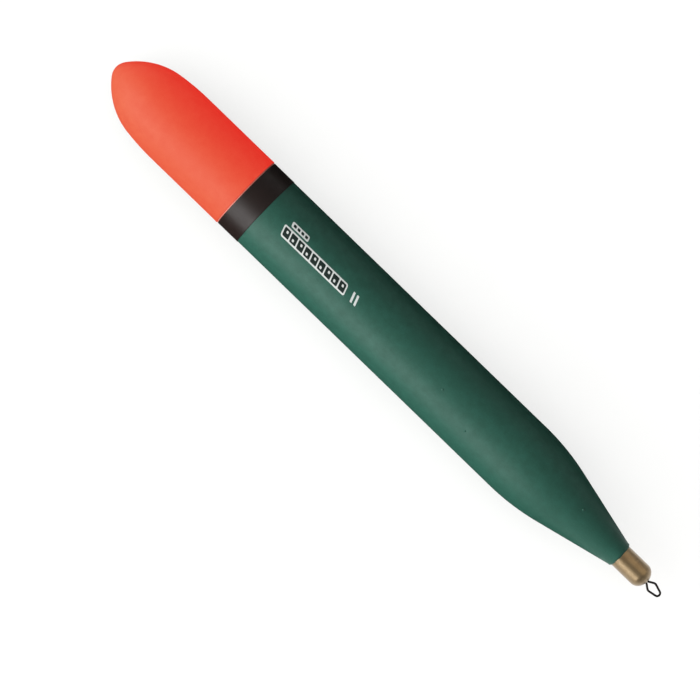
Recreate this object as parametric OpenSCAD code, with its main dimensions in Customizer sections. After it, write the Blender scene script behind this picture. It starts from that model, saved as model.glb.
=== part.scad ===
// Pencil float: a painted foam body on a brass ballast, with a small built-in swivel
// whose wire eye takes the line. It lies on its side along X, the tip at +X, on the
// plane Z = 0, with the middle of its length over the origin.

/* [Body] */
// Diameter over the paint of the straight body
body_d = 21.5; // [20:0.1:24]
// Length of the painted body, from the tip to the foot
body_length = 184.7; // [150:0.1:220]
// Radius of the shoulder between the straight body and the tail cone
shoulder_r = 66; // [50:1:80]
// Half angle of the tail cone, in degrees
cone_angle = 13.5; // [11:0.5:16]
// Diameter over the paint at the foot of the cone
foot_d = 7.5; // [7.2:0.1:8]

/* [Tip] */
// Radius of the rounded tip, as a share of the foam's radius
tip_round = 0.37; // [0.25:0.01:0.42]
// Radius of the nose's flank, as a share of the foam's radius
nose_flank = 1.84; // [1.6:0.01:1.86]
// Length of the bright tip zone
tip_zone = 47.6; // [35:0.1:60]
// Width of the band below the bright zone
band_w = 7.4; // [3:0.1:12]

/* [Paint] */
// Thickness of the paint on the body
body_coat_t = 0.15; // [0.1:0.05:0.3]
// Thickness of the band over the body's paint
band_coat_t = 0.1; // [0.05:0.05:0.2]
// Thickness of the pale undercoat below the bright paint
undercoat_t = 0.15; // [0.1:0.05:0.3]
// Thickness of the bright paint over its undercoat
tip_coat_t = 0.2; // [0.1:0.05:0.3]
// Height of undercoat left showing below the bright paint
undercoat_peek = 0.3; // [0.1:0.05:0.4]

/* [Ballast] */
// Diameter of the brass stem
stem_d = 6.7; // [6.2:0.1:7]
// Length of the stem's straight part, from the foot to the dome
stem_length = 7.4; // [6:0.1:12]
// Length of the stem's domed end
dome_length = 2.9; // [2.8:0.1:3.2]
// Radius of the dome's rounded corner
dome_corner_r = 2.6; // [2.2:0.1:2.7]
// Diameter of the spigot glued into the foam
spigot_d = 5; // [4.4:0.1:5.6]
// Length of the spigot
spigot_length = 18; // [10:1:30]
// Diameter of the bore that holds the swivel
bore_d = 3.2; // [3.2:0.05:3.6]
// Diameter of the hole in the dome that the line eye comes out of
nose_hole_d = 1.8; // [1.8:0.05:2]
// Thickness of the dome's lip in front of the swivel
lip_t = 0.6; // [0.55:0.05:0.7]
// Thickness of the glue around and behind the spigot
glue_t = 0.1; // [0.05:0.05:0.2]

/* [Swivel] */
// Diameter of the wire
wire_d = 0.6; // [0.5:0.05:0.65]
// Width of a wire loop over its outside
loop_w = 3.2; // [2.6:0.1:3.3]
// How far the line eye stands out beyond the dome at rest
eye_stand = 5; // [4.6:0.1:7]
// Angle at which the two wires of a loop part, in degrees
loop_flare = 33; // [30:1:42]
// Lean of the line eye at rest, in degrees
eye_lean = 3.7; // [-8:0.1:8]
// Diameter of the ball heads inside the barrel
head_d = 2; // [1.9:0.05:2.05]
// Length of the barrel
barrel_length = 5; // [4.4:0.1:7]
// Running clearance, on the radius
run = 0.05; // [0.02:0.01:0.06]

/* [Hidden] */
$fn = 96;

// Foam, with the paint's own thickness taken off the painted sizes
core_r = body_d / 2 - body_coat_t;
tail_r = shoulder_r - body_coat_t;
foot_r = foot_d / 2 - body_coat_t / cos(cone_angle);
tip_build = undercoat_t + tip_coat_t;
widest_r = core_r + max(tip_build, body_coat_t + band_coat_t);

// Heights are measured along the float from its foot, and centres are [radius, height]
shoulder_z = (core_r - tail_r * (1 - cos(cone_angle)) - foot_r) / tan(cone_angle)
  + tail_r * sin(cone_angle);
tail_centre = [core_r - tail_r, shoulder_z];

// Nose: three arcs that meet at these slopes against the axis
cap_slope = 53;
flank_slope = 8;
cap_r = tip_round * core_r;
flank_r = nose_flank * core_r;
brow_r = (core_r - flank_r * cos(flank_slope) + (flank_r - cap_r) * cos(cap_slope))
  / (1 - cos(flank_slope));
brow_to_cap = (brow_r - flank_r) * sin(flank_slope) + (flank_r - cap_r) * sin(cap_slope);
brow_z = body_length - tip_build - cap_r - brow_to_cap;
brow_centre = [core_r - brow_r, brow_z];
flank_centre = brow_centre + (brow_r - flank_r) * slope_normal(flank_slope);
cap_centre = [0, brow_z + brow_to_cap];

// Colour zones
tip_edge_z = body_length - tip_zone;
undercoat_edge_z = tip_edge_z - undercoat_peek;
band_foot_z = tip_edge_z - band_w;
band_height = undercoat_edge_z - band_foot_z;

// Ballast: the dome's end arc is tangent to its corner
stem_r = stem_d / 2;
socket_r = spigot_d / 2 + glue_t;
socket_depth = spigot_length + glue_t;
dome_z = -stem_length;
apex_z = dome_z - dome_length;
corner_x = stem_r - dome_corner_r;
dome_r = (dome_length * dome_length + corner_x * corner_x - dome_corner_r * dome_corner_r)
  / (2 * (dome_length - dome_corner_r));
dome_centre_z = apex_z + dome_r;
dome_joint_z = dome_centre_z - dome_r * (dome_centre_z - dome_z) / (dome_r - dome_corner_r);

// Swivel: the barrel's ends are cones around the two ball heads
wire_gap = 0.02;     // between the two wires of a shank
tilt_room = 0.2;     // round the tilting shank in the barrel's mouth
turn_room = 0.08;    // round the straight shank at the barrel's rear
potting_gap = 0.1;   // keeps the epoxy off the turning barrel
barrel_face_r = 1;
head_inset = 1.1;    // from a head's centre to the barrel's nearer face
wire_r = wire_d / 2;
wire_x = wire_r + wire_gap / 2;
shank_r = wire_x + wire_r;
mouth_r = shank_r + tilt_room;
rear_mouth_r = shank_r + turn_room;
head_r = head_d / 2;
seat_r = head_r + run;
barrel_r = bore_d / 2 - run;
barrel_cone = barrel_r - barrel_face_r;
chamber_z = apex_z + lip_t;
barrel_z = chamber_z + run;
barrel_top_z = barrel_z + barrel_length;
head_z = barrel_z + head_inset;
rear_head_z = barrel_top_z - head_inset;

// Wire loop, in its own plane: [distance from the head's centre, distance off its middle line]
root_r = 0.5;        // middle line of the bend where the two wires part
corner_r = 1;        // middle line of the bend at the loop's widest place
end_r = 0.8;         // middle line of the loop's end
root_sink = 0.05;    // how far inside the dome the wires begin to part
root_u = head_z - apex_z - root_sink;
root_centre = [root_u, wire_x + root_r];
corner_v = loop_w / 2 - wire_r - corner_r;
corner_centre = [
  root_u + ((corner_v - root_centre[1]) * cos(loop_flare) + root_r + corner_r) / sin(loop_flare),
  corner_v
];
end_out_r = end_r + wire_r;
eye_reach = end_out_r + (head_z - apex_z + eye_stand - end_out_r) / cos(eye_lean);
end_centre = [eye_reach - end_out_r, 0];
side = end_centre - corner_centre;
side_slope = atan2(corner_v, side[0]) + asin((corner_r - end_r) / norm(side));

// Lying on its widest paint, with the middle of the whole length at X = 0
middle_z = (body_length + apex_z - eye_stand) / 2;

wire_sides = 12;
bend_step = 20;      // degrees of a bend to each ring of the wire
cut = 1;             // how far a cutting shape runs past the face it opens

function slope_normal(slope) = [cos(slope), sin(slope)];

// Half section of a cylinder, from height z0 to z1
module straight_slice(r, z0, z1) {
  polygon([[0, z0], [r, z0], [r, z1], [0, z1]]);
}

// Part of a half outline, from height z0 to z1, whose edge is an arc centred on or left of the axis
module arc_slice(centre, r, z0, z1) {
  intersection() {
    translate(centre) circle(r);
    straight_slice(r, z0, z1);
  }
}

// Half outline of the body, with its surface moved out by grow
module body_outline(grow) {
  cone_top_z = shoulder_z - (tail_r + grow) * sin(cone_angle);
  grown_foot_r = foot_r + grow / cos(cone_angle);
  brow_top_z = brow_z + (brow_r + grow) * sin(flank_slope);
  flank_top_z = flank_centre[1] + (flank_r + grow) * sin(cap_slope);
  polygon([
    [0, 0],
    [grown_foot_r, 0],
    [grown_foot_r + cone_top_z * tan(cone_angle), cone_top_z],
    [0, cone_top_z]
  ]);
  arc_slice(tail_centre, tail_r + grow, cone_top_z, shoulder_z);
  straight_slice(core_r + grow, shoulder_z, brow_z);
  arc_slice(brow_centre, brow_r + grow, brow_z, brow_top_z);
  arc_slice(flank_centre, flank_r + grow, brow_top_z, flank_top_z);
  arc_slice(cap_centre, cap_r + grow, flank_top_z, cap_centre[1] + cap_r + grow);
}

// Skin between two grown outlines, from height z0 to z1
module skin(inner, outer, z0, z1) {
  rotate_extrude()
    intersection() {
      difference() {
        body_outline(outer);
        body_outline(inner);
      }
      straight_slice(2 * core_r, z0, z1);
    }
}

module lying() {
  translate([-middle_z, 0, widest_r]) rotate([0, 90, 0]) children();
}

// Points [u, v] with the angle of the wire's outer side at each, round a bend about a centre.
// The wire's outer side faces away from the centre, or towards it where facing is 180.
function bend(centre, r, from, to, facing = 0) =
  let (steps = ceil(abs(to - from) / bend_step))
  [for (i = [0:steps])
    let (a = from + (to - from) * i / steps)
    [centre + r * slope_normal(a), a + facing]];

// Middle line of the wire from one end inside the ball head round the loop to the other
function loop_path() =
  let (
    half = concat(
      [[[head_r / 2, wire_x], 90]],
      bend(root_centre, root_r, -90, loop_flare - 90, 180),
      bend(corner_centre, corner_r, loop_flare + 90, 90 - side_slope)
    ),
    last = len(half) - 1
  )
  concat(
    half,
    bend(end_centre, end_r, 90 - side_slope, side_slope - 90),
    [for (i = [last:-1:0]) [[half[i][0][0], -half[i][0][1]], -half[i][1]]]
  );

// Round wire swept along a flat path
module wire(path) {
  rings = len(path);
  points = [
    for (step = path, k = [0:wire_sides - 1])
      let (turn = 360 * k / wire_sides, out = step[0] + wire_r * cos(turn) * slope_normal(step[1]))
      [out[0], out[1], wire_r * sin(turn)]
  ];
  walls = [
    for (i = [0:rings - 2], k = [0:wire_sides - 1])
      let (next = (k + 1) % wire_sides)
      [i * wire_sides + k, (i + 1) * wire_sides + k, (i + 1) * wire_sides + next, i * wire_sides + next]
  ];
  near_cap = [for (k = [0:wire_sides - 1]) k];
  far_cap = [for (k = [wire_sides - 1:-1:0]) (rings - 1) * wire_sides + k];
  polyhedron(points, concat(walls, [near_cap, far_cap]), convexity = 4);
}

// Loop, shank and ball head of one swivel eye, in its own plane
module wire_eye() {
  wire(loop_path());
  sphere(head_r);
}

module placed_anchor_eye() {
  translate([0, 0, rear_head_z]) rotate([0, -90, 0]) wire_eye();
}

module foam_core() {
  color("wheat")
    lying()
      difference() {
        rotate_extrude() body_outline(0);
        translate([0, 0, -cut]) cylinder(r = socket_r, h = socket_depth + cut);
      }
}

module tip_undercoat() {
  color("white") lying() skin(0, undercoat_t, undercoat_edge_z, body_length);
}

module tip_coat() {
  color("orangered") lying() skin(undercoat_t, tip_build, tip_edge_z, body_length);
}

module band_coat() {
  color("#2b2826")
    lying()
      translate([0, 0, band_foot_z])
        difference() {
          cylinder(r = core_r + body_coat_t + band_coat_t, h = band_height);
          translate([0, 0, -cut]) cylinder(r = core_r + body_coat_t, h = band_height + 2 * cut);
        }
}

module body_coat() {
  color("#2f5a4d") lying() skin(0, body_coat_t, 0, undercoat_edge_z);
}

// Half section of the stem and its domed end, with no holes
module stem_outline() {
  translate([0, dome_z]) square([stem_r, stem_length]);
  intersection() {
    translate([corner_x, dome_z]) circle(dome_corner_r);
    translate([corner_x, dome_joint_z]) square([stem_r, dome_z - dome_joint_z]);
  }
  translate([0, dome_joint_z]) square([corner_x, dome_z - dome_joint_z]);
  arc_slice([0, dome_centre_z], dome_r, apex_z, dome_joint_z);
}

module ballast() {
  color("#b08d4c")
    lying()
      difference() {
        union() {
          rotate_extrude() stem_outline();
          cylinder(d = spigot_d, h = spigot_length);
        }
        translate([0, 0, apex_z - cut]) cylinder(d = nose_hole_d, h = lip_t + 2 * cut);
        translate([0, 0, chamber_z])
          cylinder(r1 = barrel_face_r + run, r2 = bore_d / 2, h = barrel_cone);
        translate([0, 0, chamber_z + barrel_cone])
          cylinder(d = bore_d, h = spigot_length + cut - chamber_z - barrel_cone);
      }
}

module ballast_glue() {
  color("#d8c890")
    lying()
      difference() {
        cylinder(r = socket_r, h = socket_depth);
        translate([0, 0, -cut]) cylinder(d = spigot_d, h = spigot_length + cut);
      }
}

module swivel_potting() {
  foot = barrel_top_z + potting_gap;
  color("#c9b67a")
    lying()
      difference() {
        translate([0, 0, foot]) cylinder(d = bore_d, h = spigot_length - foot);
        placed_anchor_eye();
      }
}

module anchor_eye() {
  color("#3a3634") lying() placed_anchor_eye();
}

module swivel_barrel() {
  color("#4a4542")
    lying()
      rotate_extrude()
        difference() {
          polygon([
            [0, barrel_z],
            [barrel_face_r, barrel_z],
            [barrel_r, barrel_z + barrel_cone],
            [barrel_r, barrel_top_z - barrel_cone],
            [barrel_face_r, barrel_top_z],
            [0, barrel_top_z]
          ]);
          translate([0, head_z]) circle(seat_r);
          translate([0, rear_head_z]) circle(seat_r);
          translate([0, head_z]) square([seat_r, rear_head_z - head_z]);
          translate([0, barrel_z - cut]) square([mouth_r, head_inset + cut]);
          translate([0, rear_head_z]) square([rear_mouth_r, head_inset + cut]);
        }
}

module line_eye() {
  color("#3a3634")
    lying()
      translate([0, 0, head_z])
        rotate([0, 90, 0])
          rotate([0, 0, eye_lean])
            wire_eye();
}

foam_core();
tip_undercoat();
tip_coat();
band_coat();
body_coat();
ballast();
ballast_glue();
swivel_potting();
anchor_eye();
swivel_barrel();
line_eye();
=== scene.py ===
import math

import bmesh
import bpy
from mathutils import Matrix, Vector, noise


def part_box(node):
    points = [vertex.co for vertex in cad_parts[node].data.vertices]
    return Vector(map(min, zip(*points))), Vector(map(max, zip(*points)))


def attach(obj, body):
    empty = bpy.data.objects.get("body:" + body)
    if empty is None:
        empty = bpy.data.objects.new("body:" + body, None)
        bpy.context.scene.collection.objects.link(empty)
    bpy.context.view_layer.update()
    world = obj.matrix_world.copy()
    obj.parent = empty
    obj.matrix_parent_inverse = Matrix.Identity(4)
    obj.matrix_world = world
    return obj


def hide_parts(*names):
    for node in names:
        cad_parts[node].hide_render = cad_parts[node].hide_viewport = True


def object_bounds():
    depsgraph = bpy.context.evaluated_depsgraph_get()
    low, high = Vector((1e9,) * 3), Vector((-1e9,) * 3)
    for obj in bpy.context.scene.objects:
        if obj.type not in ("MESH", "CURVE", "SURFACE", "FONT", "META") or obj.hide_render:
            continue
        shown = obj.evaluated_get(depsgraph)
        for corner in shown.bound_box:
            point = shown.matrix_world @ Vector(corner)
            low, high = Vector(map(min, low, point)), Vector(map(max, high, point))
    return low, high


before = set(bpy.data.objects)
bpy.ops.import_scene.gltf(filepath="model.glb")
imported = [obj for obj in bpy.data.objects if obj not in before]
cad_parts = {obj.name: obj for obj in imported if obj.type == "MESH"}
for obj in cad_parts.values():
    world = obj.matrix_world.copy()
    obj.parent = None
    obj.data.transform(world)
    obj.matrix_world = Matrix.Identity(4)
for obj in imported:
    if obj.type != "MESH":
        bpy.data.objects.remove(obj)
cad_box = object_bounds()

MM = 0.001


# Camera: straight above the lying float, turned so that the tip is at the upper left
CAMERA_TURN = math.radians(224.1)
CAMERA_HEIGHT = 0.85
CAMERA_OFFSET = Vector((3.78, 10.68, 0)) * MM
SENSOR_WIDTH = 36
FOCAL_LENGTH = 165.9

middle = (cad_box[0] + cad_box[1]) / 2
camera = bpy.data.objects.new("camera", bpy.data.cameras.new("camera"))
camera.data.sensor_width = SENSOR_WIDTH
camera.data.lens = FOCAL_LENGTH
camera.location = middle + CAMERA_OFFSET + Vector((0, 0, CAMERA_HEIGHT))
camera.rotation_euler = (0, 0, CAMERA_TURN)
bpy.context.scene.collection.objects.link(camera)
bpy.context.scene.camera = camera
bpy.context.scene.view_settings.view_transform = "Standard"


# The frame's own measures, in metres
AXIS_Z = middle.z


def span(node):
    low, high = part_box(node)
    return low.x, high.x


def radius(node):
    low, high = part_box(node)
    return (high.z - low.z) / 2


FOOT_X = span("foam_core")[0]
TIP_X = span("tip_coat")[1]
TIP_EDGE_X = span("tip_coat")[0]
BAND_X = span("band_coat")
CORE_R = radius("foam_core")
BODY_R = radius("body_coat")
TIP_R = radius("tip_coat")
BAND_R = radius("band_coat")
UNDERCOAT_R = radius("tip_undercoat")
STEM_R = radius("ballast")
BODY_COAT = BODY_R - CORE_R
TIP_COAT = TIP_R - CORE_R
UNDERCOAT = UNDERCOAT_R - CORE_R

# Shape of the body under its paint. It follows the CAD to 0.05 mm
CONE_ANGLE = math.radians(13.5)
SHOULDER_R = 66 * MM - BODY_COAT
PAINTED_FOOT_R = 3.7 * MM
FOOT_R = PAINTED_FOOT_R - BODY_COAT / math.cos(CONE_ANGLE)
CAP_SLOPE = math.radians(53)
FLANK_SLOPE = math.radians(8)
CAP_R = 0.37 * CORE_R
FLANK_R = 1.84 * CORE_R
SIDES = 160
RING_STEP = 0.6 * MM


def across(slope):
    """Unit step, as (along the float, away from its axis), square to an outline of this slope."""
    return Vector((math.sin(slope), math.cos(slope)))


def arc(centre, r, start, end, step=RING_STEP):
    """Points (x, radius) of an arc from one slope to another, its first point left out."""
    count = max(2, math.ceil(abs(end - start) * r / step))
    return [centre + r * across(start + (end - start) * i / count) for i in range(1, count + 1)]


def line(start, end, step=RING_STEP):
    """Points of a straight run, its first point left out."""
    count = max(1, math.ceil((end - start).length / step))
    return [start.lerp(end, i / count) for i in range(1, count + 1)]


SHOULDER_X = (
    FOOT_X
    + (CORE_R - SHOULDER_R * (1 - math.cos(CONE_ANGLE)) - FOOT_R) / math.tan(CONE_ANGLE)
    + SHOULDER_R * math.sin(CONE_ANGLE)
)
BROW_R = (
    CORE_R - FLANK_R * math.cos(FLANK_SLOPE) + (FLANK_R - CAP_R) * math.cos(CAP_SLOPE)
) / (1 - math.cos(FLANK_SLOPE))
BROW_TO_CAP = (BROW_R - FLANK_R) * math.sin(FLANK_SLOPE) + (FLANK_R - CAP_R) * math.sin(CAP_SLOPE)
BROW_X = TIP_X - TIP_COAT - CAP_R - BROW_TO_CAP
BROW_CENTRE = Vector((BROW_X, CORE_R - BROW_R))
FLANK_CENTRE = BROW_CENTRE + (BROW_R - FLANK_R) * across(FLANK_SLOPE)
CAP_CENTRE = Vector((BROW_X + BROW_TO_CAP, 0))


def nose_outline(grow, start_x, step=RING_STEP):
    """Outline from start_x on the straight body to the tip, moved out by grow."""
    start = Vector((start_x, CORE_R + grow))
    points = [start] + line(start, Vector((BROW_X, CORE_R + grow)), step)
    points += arc(BROW_CENTRE, BROW_R + grow, 0, FLANK_SLOPE, step)
    points += arc(FLANK_CENTRE, FLANK_R + grow, FLANK_SLOPE, CAP_SLOPE, step)
    points += arc(CAP_CENTRE, CAP_R + grow, CAP_SLOPE, math.pi / 2, step)
    points[-1].y = 0
    return points


def tail_outline(grow, end_x, step=RING_STEP):
    """Outline from the foot over the cone and shoulder to end_x, moved out by grow."""
    foot = Vector((FOOT_X, FOOT_R + grow / math.cos(CONE_ANGLE)))
    centre = Vector((SHOULDER_X, CORE_R - SHOULDER_R))
    cone_top = centre + (SHOULDER_R + grow) * across(-CONE_ANGLE)
    points = [foot] + line(foot, cone_top, step)
    points += arc(centre, SHOULDER_R + grow, -CONE_ANGLE, 0, step)
    points += line(points[-1].copy(), Vector((end_x, CORE_R + grow)), step)
    return points


def on_float(x, r, a):
    """Point at a distance r from the float's axis, at angle a from straight up towards +Y."""
    return Vector((x, r * math.sin(a), AXIS_Z + r * math.cos(a)))


def wander(a, seed):
    """Uneven course of a painted edge round the float, from about -1 to 1."""
    waves = ((2, 0.35), (3, 0.3), (7, 0.2), (13, 0.15))
    return sum(share * math.sin(n * a + seed * (n + 1)) for n, share in waves)


def uneven(reach, seed):
    """An edge that wanders along the float by up to about reach either way."""
    return lambda a: reach * wander(a, seed)


def new_object(name, mesh, smooth=True):
    """Turns a bmesh into an object of the scene."""
    data = bpy.data.meshes.new(name)
    mesh.to_mesh(data)
    mesh.free()
    for face in data.polygons:
        face.use_smooth = smooth
    made = bpy.data.objects.new(name, data)
    bpy.context.scene.collection.objects.link(made)
    return made


def add_object(name, mesh, body, smooth=True):
    """Turns a bmesh into a piece that rides on a CAD body."""
    piece = new_object(name, mesh, smooth)
    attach(piece, body)
    return piece


def bridge(mesh, first, second):
    """Faces between two rings of points; a ring of one point is a pole."""
    count = max(len(first), len(second))
    for k in range(count):
        n = (k + 1) % count
        corners = [first[k % len(first)], second[k % len(second)]]
        corners += [second[n % len(second)], first[n % len(first)]]
        unique = list(dict.fromkeys(corners))
        mesh.faces.new(unique)


def turned(profile, relief, edge=lambda a: 0, sides=SIDES, loop=False):
    """Mesh turned about the float's axis. Each profile entry is (point, grain, slip): grain is
    the share of relief it gets, and slip the share of the edge's wandering along the float.
    A loop closes the profile on itself, for a piece with a thickness."""
    mesh = bmesh.new()
    rings = []
    last = len(profile) - 1
    for i, (point, grain, slip) in enumerate(profile):
        before = profile[i - 1][0] if loop or i > 0 else point
        after = profile[(i + 1) % len(profile)][0] if loop or i < last else point
        run = (after - before).normalized()
        out = Vector((-run.y, run.x))
        ring = []
        for k in range(sides if point.y > 0 else 1):
            a = 2 * math.pi * k / sides
            spot = on_float(point.x, point.y, a)
            moved = point + out * (grain * relief(spot) if grain else 0)
            x = moved.x + slip * edge(a)
            ring.append(mesh.verts.new(on_float(x, max(moved.y, 0), a)))
        rings.append(ring)
    for first, second in zip(rings, rings[1:]):
        bridge(mesh, first, second)
    if loop:
        bridge(mesh, rings[-1], rings[0])
    return mesh


# Surface of the paint: it only ever dips below the CAD's surface
UNDULATION = 0.018 * MM
UNDULATION_SIZE = 14 * MM
PEEL = 0.010 * MM
PEEL_SIZE = 1.5 * MM
# Specks in the paint, in mm: (distance along X, angle from the top towards +Y in degrees, height)
SPECKS = (
    (-20.7, 7, 0.16),
    (-32.4, 28, 0.12),
    (-69.0, -14, 0.3),
    (-41.5, 118, 0.09),
    (9.5, -97, 0.08),
    (-12.0, 171, 0.08),
    (30.5, -150, 0.07),
    (-60.5, -118, 0.08),
)
SPECK_R = 0.48 * MM
SPECK_ROOT = 0.12 * MM
SPECK_RINGS = 6
SPECK_SIDES = 16
HALO_R = 1.05 * MM
HALO_DEPTH = 0.07 * MM
# Pits in the foam that the paint has not filled, in the same units: (distance, angle, depth)
PITS = ((44.6, 50, 0.11), (-3.0, 62, 0.06), (-52.0, 35, 0.06), (20.0, -120, 0.09), (-30.0, 150, 0.08))
PIT_R = 0.75 * MM


def painted_r(x):
    """Radius over the smooth green paint at a distance along X."""
    if x > SHOULDER_X:
        return BODY_R
    reach = SHOULDER_R + BODY_COAT
    if x > SHOULDER_X - reach * math.sin(CONE_ANGLE):
        return CORE_R - SHOULDER_R + math.sqrt(reach**2 - (x - SHOULDER_X) ** 2)
    return FOOT_R + BODY_COAT / math.cos(CONE_ANGLE) + (x - FOOT_X) * math.tan(CONE_ANGLE)


def surface_spot(x, degrees):
    """Point on the green paint, from a distance along X in mm and an angle from the top."""
    return on_float(x * MM, painted_r(x * MM), math.radians(degrees))


speck_spots = [surface_spot(x, a) for x, a, height in SPECKS]
pit_spots = [(surface_spot(x, a), depth * MM) for x, a, depth in PITS]


def dip(distance, reach):
    """Depth of a soft hollow at a distance from its middle, from 1 down to 0."""
    return math.exp(-((distance / reach) ** 2))


def flow(spot):
    """Gentle unevenness of sprayed paint, from 0 down to -1 times its depth."""
    slow = noise.noise(spot / UNDULATION_SIZE) - 1
    fine = noise.noise(spot / PEEL_SIZE) - 1
    return 0.5 * (UNDULATION * slow + PEEL * fine)


def body_relief(spot):
    """Relief of the green paint: its flow, the halos round the specks, and the pits."""
    depth = flow(spot)
    for centre in speck_spots:
        gap = (spot - centre).length
        if gap < 3 * HALO_R:
            depth -= HALO_DEPTH * dip(gap, HALO_R)
    for centre, pit in pit_spots:
        gap = (spot - centre).length
        if gap < 3 * PIT_R:
            depth -= pit * dip(gap, PIT_R)
    return depth


# Red paint of the tip, with the thin bead that the masking tape leaves at its edge
BEAD = 0.03 * MM
BEAD_END = 1.6 * MM
INNER_STEP = 3 * MM
EDGE_WANDER = 0.05 * MM
TIP_FADE = 4 * MM
# The bead's section, in mm: (distance from the edge, depth below the coat, share of wandering)
TIP_EDGE = (
    (0.00, 0.13, 1), (0.03, 0.06, 1), (0.09, 0.015, 1), (0.2, 0.0, 1),
    (0.4, 0.005, 0.8), (0.7, 0.02, 0.6), (1.1, 0.03, 0.4),
)


def tip_profile():
    inner = [(p, 0, 0) for p in reversed(nose_outline(UNDERCOAT, TIP_EDGE_X, INNER_STEP))]
    inner[-1] = (inner[-1][0], 0, 1)
    edge = [
        (Vector((TIP_EDGE_X + back * MM, TIP_R - depth * MM)), 0, slip)
        for back, depth, slip in TIP_EDGE
    ]
    outer = [
        (p, min(1, (p.x - TIP_EDGE_X) / TIP_FADE), 0)
        for p in nose_outline(TIP_COAT - BEAD, TIP_EDGE_X + BEAD_END)
    ]
    return inner + edge + outer


tip_paint = add_object(
    "tip_paint", turned(tip_profile(), flow, uneven(EDGE_WANDER, seed=1.3)), "float"
)
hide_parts("tip_coat")


# Black band, a thin film with soft shoulders over the green.
# Its edges' section, in mm: (distance from the edge, depth below the coat, share of wandering)
BAND_EDGE = ((0.0, 0.06, 1), (0.03, 0.02, 1), (0.1, 0.0, 1), (0.3, 0.008, 0.8), (0.6, 0.014, 0.5))
BAND_MARGIN = 0.9 * MM
BAND_DEPTH = 0.014 * MM
BAND_GRAIN = 0.6
# The edge on the foot's side wanders the other way, and a little less
FOOT_SIDE = -0.8


def band_profile():
    low, high = BAND_X
    inner = [(Vector((high, BODY_R)), 0, 1), (Vector((low, BODY_R)), 0, FOOT_SIDE)]
    foot_edge = [
        (Vector((low + back * MM, BAND_R - depth * MM)), 0, FOOT_SIDE * slip)
        for back, depth, slip in BAND_EDGE
    ]
    head_edge = [
        (Vector((high - back * MM, BAND_R - depth * MM)), 0, slip)
        for back, depth, slip in reversed(BAND_EDGE)
    ]
    start = Vector((low + BAND_MARGIN, BAND_R - BAND_DEPTH))
    end = Vector((high - BAND_MARGIN, BAND_R - BAND_DEPTH))
    face = [(p, 1, 0) for p in [start] + line(start, end)]
    return inner + foot_edge + face + head_edge


def band_relief(spot):
    return BAND_GRAIN * flow(spot)


band_paint = add_object(
    "band_paint",
    turned(band_profile(), band_relief, uneven(EDGE_WANDER, seed=4.1), loop=True),
    "float",
)
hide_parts("band_coat")


# Green paint of the body, turned in over the foam at the foot
BODY_STEP = 4 * MM
BODY_FADE = 2 * MM
CUFF_END = 0.4 * MM
CUFF_WANDER = 0.07 * MM
# The turned-in edge, in mm: (distance from the foot, radius, share of wandering)
CUFF = (
    (0.0, 3.36, 0), (-0.06, 3.37, 0.4), (-0.12, 3.42, 0.8), (-0.16, 3.5, 1),
    (-0.15, 3.6, 1), (-0.09, 3.69, 0.9), (0.0, 3.745, 0.7), (0.15, 3.79, 0.4),
)


def body_profile():
    end_x = BAND_X[1]
    inner = [(p, 0, 0) for p in reversed(tail_outline(0, end_x, BODY_STEP))]
    cuff = [(Vector((FOOT_X + x * MM, r * MM)), 0, slip) for x, r, slip in CUFF]
    outer = [
        (p, min(1, (p.x - FOOT_X) / BODY_FADE), 0)
        for p in tail_outline(BODY_COAT, end_x)
        if p.x > FOOT_X + CUFF_END
    ]
    return inner + cuff + outer


body_paint = add_object(
    "body_paint",
    turned(body_profile(), body_relief, uneven(CUFF_WANDER, seed=2.2), loop=True),
    "float",
)
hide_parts("body_coat")


# Paint that has crept from the foot on to the brass, with a ragged end
LIP_WANDER = 0.08 * MM
LIP_WAVES = 3
# Its section, in mm: (distance from the foot, radius, share of wandering)
FOOT_LIP = (
    (0.1, 3.34, 0), (-0.34, 3.335, 1), (-0.36, 3.36, 1), (-0.3, 3.38, 0.9),
    (-0.18, 3.4, 0.6), (-0.1, 3.45, 0.3), (0.1, 3.5, 0),
)


def lip_profile():
    return [(Vector((FOOT_X + x * MM, r * MM)), 0, slip) for x, r, slip in FOOT_LIP]


def lip_edge(a):
    return LIP_WANDER * wander(LIP_WAVES * a, seed=5.7)


foot_lip = add_object("foot_lip", turned(lip_profile(), flow, lip_edge, loop=True), "float")


# Specks: low domes of paint over a grain of dust
def speck(mesh, spot, height):
    """Adds a dome at a spot on the paint, with its foot SPECK_ROOT below the surface."""
    axis = Vector((0, spot.y, spot.z - AXIS_Z)).normalized()
    along = Vector((1, 0, 0))
    side = axis.cross(along)
    rings = []
    for i in range(SPECK_RINGS + 1):
        share = i / SPECK_RINGS
        r = SPECK_R * (1 - share)
        lift = (height + SPECK_ROOT) * (0.5 - 0.5 * math.cos(math.pi * share)) - SPECK_ROOT
        count = SPECK_SIDES if i < SPECK_RINGS else 1
        turns = [2 * math.pi * k / SPECK_SIDES for k in range(count)]
        rings.append([
            mesh.verts.new(spot + lift * axis + r * (math.cos(t) * along + math.sin(t) * side))
            for t in turns
        ])
    for first, second in zip(rings, rings[1:]):
        bridge(mesh, first, second)
    mesh.faces.new(list(reversed(rings[0])))


speck_mesh = bmesh.new()
for centre, (_, _, height) in zip(speck_spots, SPECKS):
    speck(speck_mesh, centre, height * MM)
paint_specks = add_object("paint_specks", speck_mesh, "float")


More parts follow.
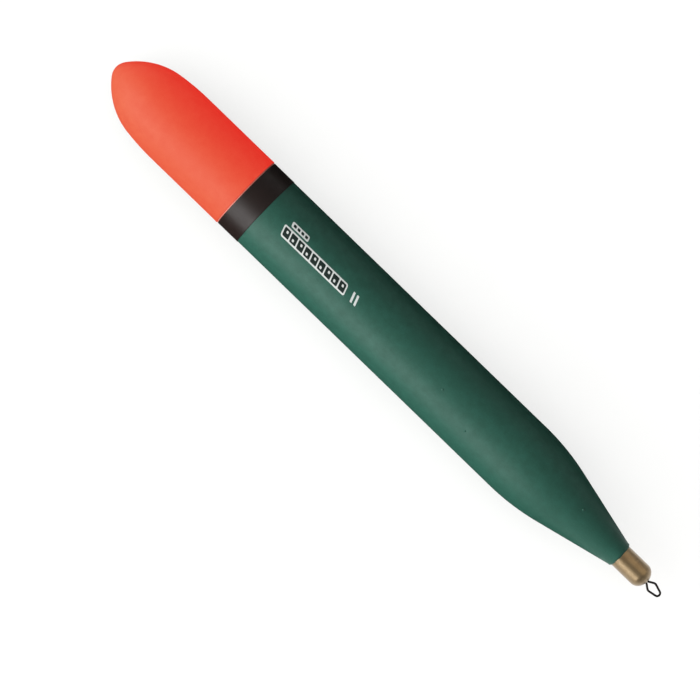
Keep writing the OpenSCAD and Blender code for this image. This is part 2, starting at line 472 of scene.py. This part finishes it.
# Brass ballast: a turned stem with a domed nose, its spigot and the swivel's chamber
STEM_LENGTH = 7.4 * MM
DOME_HEIGHT = 2.9 * MM
DOME_X = FOOT_X - STEM_LENGTH
APEX_X = DOME_X - DOME_HEIGHT
SPIGOT_X = span("ballast")[1]
CORNER_R = 2.6 * MM
SPIGOT_R = 2.5 * MM
BORE_R = 1.6 * MM
CHAMBER_R = 1.05 * MM
HOLE_R = 0.9 * MM
LIP = 0.6 * MM
MOUTH_CHAMFER = 0.2 * MM
MOUTH_EASE = 0.02
BRASS_SIDES = 96
BRASS_STEP = 0.11 * MM
TURNING_PITCH = 0.36 * MM
TURNING_DEPTH = 0.004 * MM


def stem_profile():
    """Outline of the brass: the dome and stem outside, the spigot and the bore inside."""
    corner = STEM_R - CORNER_R
    dome_r = (DOME_HEIGHT**2 + corner**2 - CORNER_R**2) / (2 * (DOME_HEIGHT - CORNER_R))
    centre = Vector((APEX_X + dome_r, 0))
    join = math.atan2(corner, dome_r - DOME_HEIGHT)
    hole = math.asin(HOLE_R / dome_r) + MOUTH_EASE
    dome = arc(centre, dome_r, hole - math.pi / 2, join - math.pi / 2, BRASS_STEP)
    edge = arc(Vector((DOME_X, corner)), CORNER_R, join - math.pi / 2, 0, BRASS_STEP)
    stem = line(edge[-1].copy(), Vector((FOOT_X, STEM_R)), BRASS_STEP)
    mouth = centre + dome_r * across(hole - math.pi / 2)
    chamber_x = APEX_X + LIP
    outside = [(p, 1, 0) for p in [mouth] + dome + edge + stem]
    inside = [
        (Vector(p), 0, 0)
        for p in (
            (FOOT_X, SPIGOT_R), (SPIGOT_X, SPIGOT_R), (SPIGOT_X, BORE_R),
            (chamber_x + BORE_R - CHAMBER_R, BORE_R), (chamber_x, CHAMBER_R),
            (chamber_x, HOLE_R), (APEX_X + MOUTH_CHAMFER, HOLE_R),
        )
    ]
    return outside + inside


def turning(spot):
    """Fine feed marks of the lathe."""
    return TURNING_DEPTH * 0.5 * (math.sin(2 * math.pi * spot.x / TURNING_PITCH) - 1)


brass_stem = add_object(
    "brass_stem", turned(stem_profile(), turning, sides=BRASS_SIDES, loop=True), "float"
)
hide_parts("ballast")


# Wire eye
WIRE_R = 0.3 * MM
WIRE_GAP = 0.02 * MM
LOOP_W = 3.2 * MM
FLARE = math.radians(33)
LEAN = math.radians(3.7)
HEAD_R = 1 * MM
HEAD_INSET = 1.75 * MM
HEAD_X = APEX_X + HEAD_INSET
ROOT_BEND = 0.5 * MM
ROOT_INSET = 0.05 * MM
CORNER_BEND = 1.0 * MM
END_BEND = 0.8 * MM
EYE_STAND = 5 * MM
WIRE_SIDES = 20
BEND_STEP = 7
HEAD_RINGS = 24
HEAD_SIDES = 40
HEAD_FLAT = 0.96 * HEAD_R


def bend(centre, r, start, end, facing=0):
    """Points of a bend, each with the direction in which the wire's outer side faces."""
    count = max(3, math.ceil(abs(math.degrees(end - start)) / BEND_STEP))
    turns = [start + (end - start) * i / count for i in range(count + 1)]
    return [(centre + r * Vector((math.cos(t), math.sin(t))), t + facing) for t in turns]


def loop_path():
    """Middle line of the wire, from inside the ball round the loop and back, as the CAD's."""
    quarter = math.pi / 2
    wire_x = WIRE_R + WIRE_GAP / 2
    root_u = HEAD_INSET - ROOT_INSET
    root = Vector((root_u, wire_x + ROOT_BEND))
    corner_v = LOOP_W / 2 - WIRE_R - CORNER_BEND
    rise = (corner_v - root.y) * math.cos(FLARE) + ROOT_BEND + CORNER_BEND
    corner = Vector((root_u + rise / math.sin(FLARE), corner_v))
    end_out = END_BEND + WIRE_R
    reach = end_out + (HEAD_INSET + EYE_STAND - end_out) / math.cos(LEAN)
    end = Vector((reach - end_out, 0))
    side = end - corner
    slope = math.atan2(corner_v, side.x) + math.asin((CORNER_BEND - END_BEND) / side.length)
    half = [(Vector((HEAD_R / 2, wire_x)), quarter)]
    half += bend(root, ROOT_BEND, -quarter, FLARE - quarter, math.pi)
    half += bend(corner, CORNER_BEND, FLARE + quarter, quarter - slope)
    tip = bend(end, END_BEND, quarter - slope, slope - quarter)
    back = [(Vector((p.x, -p.y)), -t) for p, t in reversed(half)]
    return half + tip + back


def eye_point(u, v, w):
    """Point of the eye: u out from the ball head, v across the loop, w out of its plane."""
    out = Vector((-math.cos(LEAN), math.sin(LEAN), 0))
    side = Vector((-math.sin(LEAN), -math.cos(LEAN), 0))
    return Vector((HEAD_X, 0, AXIS_Z)) + u * out + v * side + Vector((0, 0, w))


def swept_wire():
    mesh = bmesh.new()
    rings = []
    for point, facing in loop_path():
        ring = []
        for k in range(WIRE_SIDES):
            t = 2 * math.pi * k / WIRE_SIDES
            out = WIRE_R * math.cos(t)
            u = point.x + out * math.cos(facing)
            v = point.y + out * math.sin(facing)
            ring.append(mesh.verts.new(eye_point(u, v, WIRE_R * math.sin(t))))
        rings.append(ring)
    for first, second in zip(rings, rings[1:]):
        bridge(mesh, first, second)
    mesh.faces.new(list(reversed(rings[0])))
    mesh.faces.new(rings[-1])
    bmesh.ops.recalc_face_normals(mesh, faces=mesh.faces)
    return mesh


def ball_head():
    """Ball at the root of the wire, with the small flat that upsetting leaves on its back."""
    mesh = bmesh.new()
    rings = []
    for i in range(HEAD_RINGS + 1):
        t = math.pi * i / HEAD_RINGS
        u = max(HEAD_R * math.cos(t), -HEAD_FLAT)
        r = HEAD_R * math.sin(t)
        count = HEAD_SIDES if 0 < i < HEAD_RINGS else 1
        turns = [2 * math.pi * k / HEAD_SIDES for k in range(count)]
        rings.append([mesh.verts.new(eye_point(u, r * math.cos(a), r * math.sin(a))) for a in turns])
    for first, second in zip(rings, rings[1:]):
        bridge(mesh, first, second)
    bmesh.ops.recalc_face_normals(mesh, faces=mesh.faces)
    return mesh


def joined(first, second):
    """The first piece with the second united to it."""
    union = first.modifiers.new("union", "BOOLEAN")
    union.operation = "UNION"
    union.solver = "EXACT"
    union.object = second
    graph = bpy.context.evaluated_depsgraph_get()
    data = bpy.data.meshes.new_from_object(first.evaluated_get(graph))
    first.modifiers.clear()
    first.data = data
    bpy.data.objects.remove(second)
    return first


wire_loop = joined(
    add_object("wire_loop", swept_wire(), "line_eye"),
    add_object("ball_head", ball_head(), "line_eye"),
)
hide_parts("line_eye")


# Printed mark: plain slanted blocks, thin ink that follows the paint
INK_ROOT = 0.03 * MM
WHITE_LIFT = 0.03 * MM
DARK_LIFT = 0.05 * MM
WINDOW_LIFT = 0.07 * MM
SLANT = -0.35
INK_ROW = 0.3 * MM
INK_COLUMN = 0.5 * MM
INK_CORNER_STEPS = 4


def ink_rows(low, high, corner):
    """Arc positions of a patch's rows, closer together at its rounded corners."""
    turns = [math.pi / 2 * i / INK_CORNER_STEPS for i in range(INK_CORNER_STEPS + 1)]
    first = [low + corner * (1 - math.cos(t)) for t in turns]
    last = [high - corner * (1 - math.cos(t)) for t in reversed(turns)]
    count = max(2, math.ceil((high - low - 2 * corner) / INK_ROW))
    between = [low + corner + (high - low - 2 * corner) * i / count for i in range(1, count)]
    return first + between + last


def ink_layers(mesh, columns, rows, lift):
    """Vertices of a patch's top and base, row by row, over the relief of the paint."""
    top, base = [], []
    for v, low, high in rows:
        a = v / BODY_R
        row_top, row_base = [], []
        for i in range(columns + 1):
            x = low + (high - low) * i / columns
            paint = BODY_R + body_relief(on_float(x, BODY_R, a))
            row_top.append(mesh.verts.new(on_float(x, paint + lift, a)))
            row_base.append(mesh.verts.new(on_float(x, paint - INK_ROOT, a)))
        top.append(row_top)
        base.append(row_base)
    return top, base


def rim(rows):
    """A layer's outer vertices, in order round the patch."""
    right = [row[-1] for row in rows[1:-1]]
    left = [row[0] for row in rows[-2:0:-1]]
    return rows[0] + right + rows[-1][::-1] + left


def patch(mesh, x0, x1, v0, v1, corner, lift):
    """Rounded slanted block of ink: x along the float, v round it from the top, in mm."""
    x0, x1, v0, v1, corner = (value * MM for value in (x0, x1, v0, v1, corner))
    columns = max(2, math.ceil((x1 - x0) / INK_COLUMN))
    rows = []
    for v in ink_rows(v0, v1, corner):
        edge = corner - min(v - v0, v1 - v, corner)
        inset = corner - math.sqrt(max(corner**2 - edge**2, 0))
        lean = SLANT * (v - (v0 + v1) / 2)
        rows.append((v, x0 + inset + lean, x1 - inset + lean))
    top, base = ink_layers(mesh, columns, rows, lift)
    for r in range(len(rows) - 1):
        for c in range(columns):
            mesh.faces.new((top[r][c], top[r][c + 1], top[r + 1][c + 1], top[r + 1][c]))
            mesh.faces.new((base[r][c], base[r + 1][c], base[r + 1][c + 1], base[r][c + 1]))
    bridge(mesh, rim(base), rim(top))


def printed(name, patches, lift):
    mesh = bmesh.new()
    for x0, x1, v0, v1, corner in patches:
        patch(mesh, x0, x1, v0, v1, corner, lift)
    bmesh.ops.recalc_face_normals(mesh, faces=mesh.faces)
    piece = add_object(name, mesh, "float", smooth=False)
    return piece


# Patches are (x from, x to, v from, v to, corner radius), all in mm
MARK_X = 15.3
MARK_LENGTH = 22.9
MARK_V = (-1.25, 1.85)
MARK_CORNER = 0.55
OUTLINE = 0.42
BLOCKS = 9
BLOCK_PITCH = (MARK_LENGTH - OUTLINE) / BLOCKS
BLOCK_CORNER = 0.25
FIRST_BLOCK_X = MARK_X + OUTLINE
WINDOW_SPAN = (0.28, 0.54)
WINDOW_V = (0.0, 0.6)
WINDOW_HALF = 0.33
TAG = (31.4, 37.4, -3.25, -1.75, 0.4)
TAG_BLOCKS = 4
TAG_BLOCK_X = 31.85
TAG_BLOCK_PITCH = 1.35
TAG_BLOCK_LENGTH = 0.9
TAG_BLOCK_V = (-2.85, -2.15)
SMALL_CORNER = 0.2
BARS_X = (11.2, 12.5)
BAR_WIDTH = 0.65
BAR_V = (-1.0, 1.7)
BAR_CORNER = 0.12


def block_patch(i):
    start = FIRST_BLOCK_X + i * BLOCK_PITCH
    end = MARK_X + (i + 1) * BLOCK_PITCH
    return (start, end, MARK_V[0] + OUTLINE, MARK_V[1] - OUTLINE, BLOCK_CORNER)


def window_patch(i):
    """Window of a block, on one side of it and the other by turns."""
    start, end = (FIRST_BLOCK_X + (i + share) * BLOCK_PITCH for share in WINDOW_SPAN)
    v = WINDOW_V[i % 2]
    return (start, end, v - WINDOW_HALF, v + WINDOW_HALF, SMALL_CORNER)


def tag_patch(i):
    start = TAG_BLOCK_X + i * TAG_BLOCK_PITCH
    return (start, start + TAG_BLOCK_LENGTH, *TAG_BLOCK_V, SMALL_CORNER)


mark_frame = printed(
    "mark_frame",
    [(MARK_X, MARK_X + MARK_LENGTH, *MARK_V, MARK_CORNER), TAG],
    WHITE_LIFT,
)
mark_blocks = printed(
    "mark_blocks",
    [block_patch(i) for i in range(BLOCKS)] + [tag_patch(i) for i in range(TAG_BLOCKS)],
    DARK_LIFT,
)
mark_windows = printed(
    "mark_windows",
    [window_patch(i) for i in range(BLOCKS)],
    WINDOW_LIFT,
)
size_bars = printed(
    "size_bars",
    [(x, x + BAR_WIDTH, *BAR_V, BAR_CORNER) for x in BARS_X],
    WHITE_LIFT,
)


# Materials. Every texture is placed by the object's own coordinates, in metres.
# Noise stays mostly between the first two values, and the metals use its middle
NOISE_LOW = 0.3
NOISE_HIGH = 0.7
METAL_LOW = 0.35
METAL_HIGH = 0.65


def new_material(name):
    made = bpy.data.materials.new(name)
    made.use_nodes = True
    tree = made.node_tree
    shader = tree.nodes["Principled BSDF"]
    place = tree.nodes.new("ShaderNodeTexCoord")
    return made, tree, shader, place.outputs["Object"]


def grain(tree, place, size, detail, stretch=(1, 1, 1)):
    """Noise whose features are about size across; stretch above 1 packs them closer on an axis."""
    mapping = tree.nodes.new("ShaderNodeMapping")
    mapping.inputs["Scale"].default_value = [s / size for s in stretch]
    tree.links.new(place, mapping.inputs["Vector"])
    made = tree.nodes.new("ShaderNodeTexNoise")
    made.inputs["Scale"].default_value = 1
    made.inputs["Detail"].default_value = detail
    tree.links.new(mapping.outputs["Vector"], made.inputs["Vector"])
    return made.outputs["Fac"]


def ramp(tree, source, stops):
    """Colour ramp of (position, colour) stops."""
    made = tree.nodes.new("ShaderNodeValToRGB")
    elements = made.color_ramp.elements
    while len(elements) < len(stops):
        elements.new(0.5)
    for element, (position, colour) in zip(elements, stops):
        element.position = position
        element.color = (*colour, 1)
    tree.links.new(source, made.inputs["Fac"])
    return made.outputs["Color"]


def spread(tree, source, low, high):
    """Maps a noise's usual range to numbers from low to high."""
    made = tree.nodes.new("ShaderNodeMapRange")
    made.inputs["From Min"].default_value = NOISE_LOW
    made.inputs["From Max"].default_value = NOISE_HIGH
    made.inputs["To Min"].default_value = low
    made.inputs["To Max"].default_value = high
    tree.links.new(source, made.inputs["Value"])
    return made.outputs["Result"]


def blended(tree, kind, share, first, second):
    """Mixes two colours; share is a number or a texture."""
    made = tree.nodes.new("ShaderNodeMix")
    made.data_type = "RGBA"
    made.blend_type = kind
    colours = [s for s in made.inputs if s.type == "RGBA"]
    if isinstance(share, float):
        made.inputs[0].default_value = share
    else:
        tree.links.new(share, made.inputs[0])
    for socket, value in zip(colours, (first, second)):
        if isinstance(value, tuple):
            socket.default_value = (*value, 1)
        else:
            tree.links.new(value, socket)
    return next(s for s in made.outputs if s.type == "RGBA")


def bumps(tree, shader, layers):
    """Stacks bump layers of (height texture, depth in metres, strength) on the shader."""
    normal = None
    for height, depth, strength in layers:
        made = tree.nodes.new("ShaderNodeBump")
        made.inputs["Strength"].default_value = strength
        made.inputs["Distance"].default_value = depth
        tree.links.new(height, made.inputs["Height"])
        if normal is not None:
            tree.links.new(normal, made.inputs["Normal"])
        normal = made.outputs["Normal"]
    tree.links.new(normal, shader.inputs["Normal"])


# Sizes of the paint's marks, and how much of the mottling the clouds even out
CLOUD_SIZE = 14 * MM
MOTTLE_SIZE = 2.2 * MM
FLECK_SIZE = 0.35 * MM
CLOUD_SHARE = 0.6
FLECK_DARK = (0.88, 0.88, 0.88)
PLAIN = (1.0, 1.0, 1.0)


def speckled_paint(name, dark, light, roughness, specular, painted_glow=None):
    """Sprayed satin paint: cloudy at a centimetre, mottled at a few millimetres, finely grained."""
    made, tree, shader, place = new_material(name)
    clouds = grain(tree, place, CLOUD_SIZE, detail=1.0)
    mottle = grain(tree, place, MOTTLE_SIZE, detail=3.0)
    fine = grain(tree, place, FLECK_SIZE, detail=2.0)
    colour = ramp(tree, mottle, [(NOISE_LOW, dark), (NOISE_HIGH, light)])
    middle_tone = tuple((d + l) / 2 for d, l in zip(dark, light))
    colour = blended(tree, "MIX", spread(tree, clouds, 0.0, CLOUD_SHARE), colour, middle_tone)
    flecks = ramp(tree, fine, [(NOISE_LOW, FLECK_DARK), (NOISE_HIGH, PLAIN)])
    colour = blended(tree, "MULTIPLY", 1.0, colour, flecks)
    tree.links.new(colour, shader.inputs["Base Color"])
    tree.links.new(spread(tree, mottle, *roughness), shader.inputs["Roughness"])
    shader.inputs["Specular IOR Level"].default_value = specular
    # Painted glow: an emission that keeps the colour as bright on the shaded side as on the lit side
    if painted_glow:
        shader.inputs["Emission Color"].default_value = (*painted_glow[0], 1)
        shader.inputs["Emission Strength"].default_value = painted_glow[1]
    bumps(tree, shader, [(mottle, 0.02 * MM, 0.5), (fine, 0.012 * MM, 0.6)])
    return made


TARNISH_SIZE = 2.5 * MM
PIT_SIZE = 0.15 * MM
STREAK_DARK = (0.85, 0.83, 0.8)
STREAK_SHARE = 0.8
LACQUER_ROUGHNESS = 0.36
LACQUER_IOR = 1.7


def metal(name, dark, light, roughness, line_size, stretch, lacquer=0):
    """Worn metal: tarnish in soft patches, and fine tool lines."""
    made, tree, shader, place = new_material(name)
    patches = grain(tree, place, TARNISH_SIZE, detail=4.0)
    lines = grain(tree, place, line_size, detail=3.0, stretch=stretch)
    pits = grain(tree, place, PIT_SIZE, detail=1.0)
    colour = ramp(tree, patches, [(METAL_LOW, dark), (METAL_HIGH, light)])
    streaks = ramp(tree, lines, [(METAL_LOW, STREAK_DARK), (METAL_HIGH, PLAIN)])
    colour = blended(tree, "MULTIPLY", STREAK_SHARE, colour, streaks)
    tree.links.new(colour, shader.inputs["Base Color"])
    tree.links.new(spread(tree, patches, *roughness), shader.inputs["Roughness"])
    shader.inputs["Metallic"].default_value = 1
    shader.inputs["Coat Weight"].default_value = lacquer
    shader.inputs["Coat Roughness"].default_value = LACQUER_ROUGHNESS
    shader.inputs["Coat IOR"].default_value = LACQUER_IOR
    bumps(tree, shader, [(lines, 0.01 * MM, 0.5), (pits, 0.01 * MM, 0.3)])
    return made


def dress(piece, material):
    piece.data.materials.clear()
    piece.data.materials.append(material)


green_paint = speckled_paint(
    "green_paint",
    dark=(0.022, 0.101, 0.071),
    light=(0.028, 0.124, 0.089),
    roughness=(0.52, 0.46),
    specular=0.31,
)
# The red is mostly a painted glow, as bright in shade as in light; the dark base colour only adds the
# orange where light falls
red_paint = speckled_paint(
    "red_paint",
    dark=(0.07, 0.086, 0.036),
    light=(0.09, 0.106, 0.045),
    roughness=(0.6, 0.54),
    specular=0.23,
    painted_glow=((1.0, 0.012, 0.012), 0.755),
)
black_paint = speckled_paint(
    "black_paint",
    dark=(0.014, 0.0075, 0.006),
    light=(0.020, 0.011, 0.009),
    roughness=(0.44, 0.38),
    specular=0.36,
)
undercoat_paint = speckled_paint(
    "undercoat_paint",
    dark=(0.86, 0.23, 0.17),
    light=(0.92, 0.30, 0.23),
    roughness=(0.6, 0.5),
    specular=0.3,
)
white_ink = speckled_paint(
    "white_ink",
    dark=(0.70, 0.74, 0.72),
    light=(0.86, 0.88, 0.86),
    roughness=(0.55, 0.45),
    specular=0.3,
)
dark_ink = speckled_paint(
    "dark_ink",
    dark=(0.006, 0.016, 0.013),
    light=(0.010, 0.026, 0.021),
    roughness=(0.5, 0.42),
    specular=0.3,
)
foam = speckled_paint(
    "rigid_foam",
    dark=(0.70, 0.60, 0.42),
    light=(0.86, 0.78, 0.62),
    roughness=(0.9, 0.8),
    specular=0.2,
)
epoxy = speckled_paint(
    "epoxy",
    dark=(0.50, 0.40, 0.20),
    light=(0.62, 0.52, 0.30),
    roughness=(0.2, 0.1),
    specular=0.5,
)
brass = metal(
    "turned_brass",
    dark=(0.275, 0.178, 0.071),
    light=(0.34, 0.235, 0.106),
    roughness=(0.46, 0.39),
    line_size=0.09 * MM,
    stretch=(1, 0.02, 0.02),
    lacquer=1.0,
)
nickel = metal(
    "black_nickel",
    dark=(0.020, 0.018, 0.017),
    light=(0.042, 0.039, 0.038),
    roughness=(0.42, 0.3),
    line_size=0.12 * MM,
    stretch=(1, 0.3, 0.3),
)

# The tip's painted glow keeps its red as bright in shade as in light, in place of daylight
# fluorescence; its light is kept off everything but the float
float_only = bpy.data.collections.new("float_only")
float_only.objects.link(tip_paint)
tip_paint.light_linking.receiver_collection = float_only

for piece, material in (
    (tip_paint, red_paint),
    (band_paint, black_paint),
    (body_paint, green_paint),
    (foot_lip, green_paint),
    (paint_specks, green_paint),
    (brass_stem, brass),
    (wire_loop, nickel),
    (mark_frame, white_ink),
    (mark_blocks, dark_ink),
    (mark_windows, white_ink),
    (size_bars, white_ink),
    (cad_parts["tip_undercoat"], undercoat_paint),
    (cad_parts["foam_core"], foam),
    (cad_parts["ballast_glue"], epoxy),
    (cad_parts["swivel_potting"], epoxy),
    (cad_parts["anchor_eye"], nickel),
    (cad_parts["swivel_barrel"], nickel),
):
    dress(piece, material)


# Stage: a pale floor that curves up into a wall all round
FLOOR_RINGS = (0.4, 1.2)
FLOOR_R = 2.4
COVE_R = 1.0
COVE_STEPS = 12
STAGE_SIDES = 96
WALL_H = 2.2
FLOOR_CLOUDS = 60 * MM
FLOOR_DARK = (0.665, 0.665, 0.66)
FLOOR_LIGHT = (0.68, 0.68, 0.675)


def cove():
    profile = [(r, 0.0) for r in (*FLOOR_RINGS, FLOOR_R)]
    turns = [math.pi / 2 * i / COVE_STEPS for i in range(1, COVE_STEPS + 1)]
    profile += [(FLOOR_R + COVE_R * math.sin(t), COVE_R * (1 - math.cos(t))) for t in turns]
    profile.append((FLOOR_R + COVE_R, WALL_H))
    mesh = bmesh.new()
    rings = [[mesh.verts.new((0, 0, 0))]]
    for r, z in profile:
        turns = [2 * math.pi * k / STAGE_SIDES for k in range(STAGE_SIDES)]
        rings.append([mesh.verts.new((r * math.cos(t), r * math.sin(t), z)) for t in turns])
    for first, second in zip(rings, rings[1:]):
        bridge(mesh, first, second)
    bmesh.ops.recalc_face_normals(mesh, faces=mesh.faces)
    return mesh


def stage_material():
    made, tree, shader, place = new_material("pale_floor")
    clouds = grain(tree, place, FLOOR_CLOUDS, detail=3.0)
    tint = ramp(tree, clouds, [(NOISE_LOW, FLOOR_DARK), (NOISE_HIGH, FLOOR_LIGHT)])
    tree.links.new(tint, shader.inputs["Base Color"])
    shader.inputs["Roughness"].default_value = 0.9
    shader.inputs["Specular IOR Level"].default_value = 0.1
    return made


floor = new_object("floor", cove())
floor.location.z = cad_box[0].z
dress(floor, stage_material())


# Dark cards just over the floor: they keep its glare off the lower edges of the paint and give
# the brass a dark line. No camera sees them, and light passes through their undersides.
CARD_END = cad_box[1].x + 30 * MM
CARD_TAIL = cad_box[0].x - 40 * MM
CARD_NEAR = 45 * MM
CARD_HALF = 300 * MM
CARD_LIFT = 0.2 * MM
CARD_GREY = (0.05, 0.05, 0.05, 1)


def card_material():
    """Dark from above, and clear from below."""
    made = bpy.data.materials.new("dark_card")
    made.use_nodes = True
    tree = made.node_tree
    tree.nodes.clear()
    face = tree.nodes.new("ShaderNodeNewGeometry")
    dark = tree.nodes.new("ShaderNodeBsdfDiffuse")
    clear = tree.nodes.new("ShaderNodeBsdfTransparent")
    mix = tree.nodes.new("ShaderNodeMixShader")
    result = tree.nodes.new("ShaderNodeOutputMaterial")
    dark.inputs["Color"].default_value = CARD_GREY
    tree.links.new(face.outputs["Backfacing"], mix.inputs[0])
    tree.links.new(dark.outputs[0], mix.inputs[1])
    tree.links.new(clear.outputs[0], mix.inputs[2])
    tree.links.new(mix.outputs[0], result.inputs["Surface"])
    return made


def dark_card():
    mesh = bmesh.new()
    z = cad_box[0].z + CARD_LIFT
    for x0, x1, y0, y1 in (
        (FOOT_X, CARD_END, -CARD_HALF, CARD_HALF),
        (CARD_TAIL, FOOT_X, -CARD_HALF, -CARD_NEAR),
    ):
        corners = ((x0, y0), (x1, y0), (x1, y1), (x0, y1))
        mesh.faces.new([mesh.verts.new((x, y, z)) for x, y in corners])
    card = new_object("card", mesh, smooth=False)
    card.visible_camera = False
    card.visible_shadow = False
    dress(card, card_material())


dark_card()


# Light: one large soft box on the +Y side, shifted towards the tip, and a low even surround.
# The key passes the floor by, which has lights of its own
KEY_ANGLE = math.radians(50)
KEY_SHIFT = 0.5
KEY_DISTANCE = 0.9
KEY_RADIANCE = 3.8
KEY_SIZE = (1.4, 0.8)
SURROUND = 0.22


def soft_box(name, direction, distance, size, radiance):
    """Rectangular panel that faces the float's middle, from a distance along a direction."""
    data = bpy.data.lights.new(name, "AREA")
    data.shape = "RECTANGLE"
    data.size, data.size_y = size
    data.energy = radiance * math.pi * size[0] * size[1]
    lamp = bpy.data.objects.new(name, data)
    lamp.location = middle + distance * direction
    lamp.rotation_euler = direction.to_track_quat("Z", "Y").to_euler()
    lamp.visible_camera = False
    bpy.context.scene.collection.objects.link(lamp)
    return lamp


key_side = Vector((KEY_SHIFT, math.sin(KEY_ANGLE), math.cos(KEY_ANGLE))).normalized()
all_but_floor = bpy.data.collections.new("all_but_floor")
all_but_floor.objects.link(floor)
all_but_floor.collection_objects[0].light_linking.link_state = "EXCLUDE"
key = soft_box("key", key_side, KEY_DISTANCE, KEY_SIZE, KEY_RADIANCE)
key.light_linking.receiver_collection = all_but_floor

# The floor has a weaker key of its own and a wash, which keep it pale and the shadow soft
FLOOR_KEY_RADIANCE = 0.8
WASH_RADIANCE = 2.9
WASH_DISTANCE = 2.0
WASH_SIZE = (3.0, 3.0)
floor_only = bpy.data.collections.new("floor_only")
floor_only.objects.link(floor)
floor_key = soft_box("floor_key", key_side, KEY_DISTANCE, KEY_SIZE, FLOOR_KEY_RADIANCE)
floor_key.light_linking.receiver_collection = floor_only
wash = soft_box("floor_wash", Vector((0, 0, 1)), WASH_DISTANCE, WASH_SIZE, WASH_RADIANCE)
wash.visible_glossy = False
wash.light_linking.receiver_collection = floor_only
wash.light_linking.blocker_collection = floor_only

# A weak warm panel on the -Y side, for the second reflection along the brass
STRIP_ANGLE = math.radians(-42)
STRIP_DISTANCE = 0.7
STRIP_SIZE = (1.2, 0.75)
STRIP_RADIANCE = 0.55
STRIP_COLOUR = (1, 0.82, 0.58)
strip_side = Vector((0, math.sin(STRIP_ANGLE), math.cos(STRIP_ANGLE)))
brass_only = bpy.data.collections.new("brass_only")
brass_only.objects.link(brass_stem)
strip = soft_box("brass_strip", strip_side, STRIP_DISTANCE, STRIP_SIZE, STRIP_RADIANCE)
strip.data.color = STRIP_COLOUR
strip.light_linking.receiver_collection = brass_only

world = bpy.data.worlds.new("studio")
bpy.context.scene.world = world
world.use_nodes = True
background = world.node_tree.nodes["Background"]
background.inputs["Color"].default_value = (1, 1, 1, 1)
background.inputs["Strength"].default_value = SURROUND
